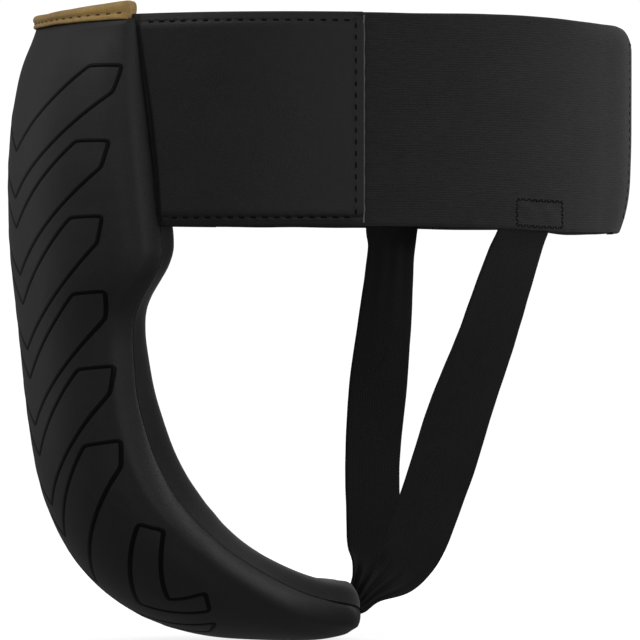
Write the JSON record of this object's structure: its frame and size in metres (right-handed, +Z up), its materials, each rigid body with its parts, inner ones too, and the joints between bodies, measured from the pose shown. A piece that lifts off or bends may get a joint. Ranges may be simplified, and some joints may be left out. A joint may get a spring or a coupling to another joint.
{
  "type": "groin protector",
  "caption": "Padded groin shield that curves under the crotch to a tail, on a wide elastic waist belt with leather wings and two flat elastic leg straps.",
  "frame": {"origin": "centre of the waist belt's loop at the middle of the belt's height", "axes": "+Z up, the wearer faces -Y, the wearer's left is +X"},
  "size_m": [0.2222, 0.3191, 0.312],
  "materials": {
    "pad_leather": "matte",
    "wing_leather": "matte",
    "trim_leather": "satin",
    "trim_thread": "matte",
    "black_thread": "satin",
    "foam": "matte",
    "cup_plastic": "satin",
    "panel": "matte",
    "lining": "matte",
    "belt_elastic": "matte",
    "strap_elastic": "matte",
    "hook_tape": "matte",
    "loop_tape": "matte"
  },
  "bodies": {
    "pad": {"front_cover": "pad_leather", "impact_foam": "foam", "cup_shell": "cup_plastic", "backing_panel": "panel", "cushion_foam": "foam", "back_lining": "lining", "top_trim": "trim_leather", "top_trim_thread": "trim_thread", "wing_root_left": "wing_leather", "wing_root_right": "wing_leather", "strap_root_left": "strap_elastic", "strap_root_right": "strap_elastic"},
    "belt_left": {"wing_left_cover": "wing_leather", "wing_left_foam": "foam", "wing_left_lining": "lining", "wing_left_thread": "black_thread", "elastic_left": "belt_elastic", "strap_end_left": "strap_elastic", "box_stitch_left": "black_thread"},
    "closure_tab": {"closure_tab_elastic": "belt_elastic", "hook_patch": "hook_tape", "tab_end_binding": "wing_leather"},
    "belt_right": {"wing_right_cover": "wing_leather", "wing_right_foam": "foam", "wing_right_lining": "lining", "wing_right_thread": "black_thread", "elastic_right": "belt_elastic", "strap_end_right": "strap_elastic", "box_stitch_right": "black_thread", "loop_patch": "loop_tape"},
    "strap_left": {"leg_strap_left": "strap_elastic"},
    "strap_right": {"leg_strap_right": "strap_elastic"}
  },
  "joints": [
    {"name": "belt_left_swing", "type": "hinge", "parent": "pad", "child": "belt_left", "pos_m": [0.0683, -0.1168, 0], "axis": [0, 0, -1], "range_deg": [0, 40]},
    {"name": "belt_right_swing", "type": "hinge", "parent": "pad", "child": "belt_right", "pos_m": [-0.0683, -0.1168, 0], "axis": [0, 0, 1], "range_deg": [0, 40]},
    {"name": "strap_left_swing", "type": "hinge", "parent": "pad", "child": "strap_left", "pos_m": [0.014, 0.01, -0.2382], "axis": [0.4357, 0.7815, -0.4465], "range_deg": [0, 27]},
    {"name": "strap_right_swing", "type": "hinge", "parent": "pad", "child": "strap_right", "pos_m": [-0.014, 0.01, -0.2382], "axis": [0.4357, -0.7815, 0.4465], "range_deg": [0, 27]},
    {"name": "closure_tab_peel", "type": "hinge", "parent": "belt_left", "child": "closure_tab", "pos_m": [0.05871, 0.13066, 0], "axis": [0, 0, -1], "range_deg": [0, 70]}
  ],
  "couplings": [
    {"joint": "belt_right_swing", "follows": "belt_left_swing", "ratio": 1},
    {"joint": "strap_left_swing", "follows": "belt_left_swing", "ratio": 0.67},
    {"joint": "strap_right_swing", "follows": "belt_left_swing", "ratio": 0.67}
  ]
}
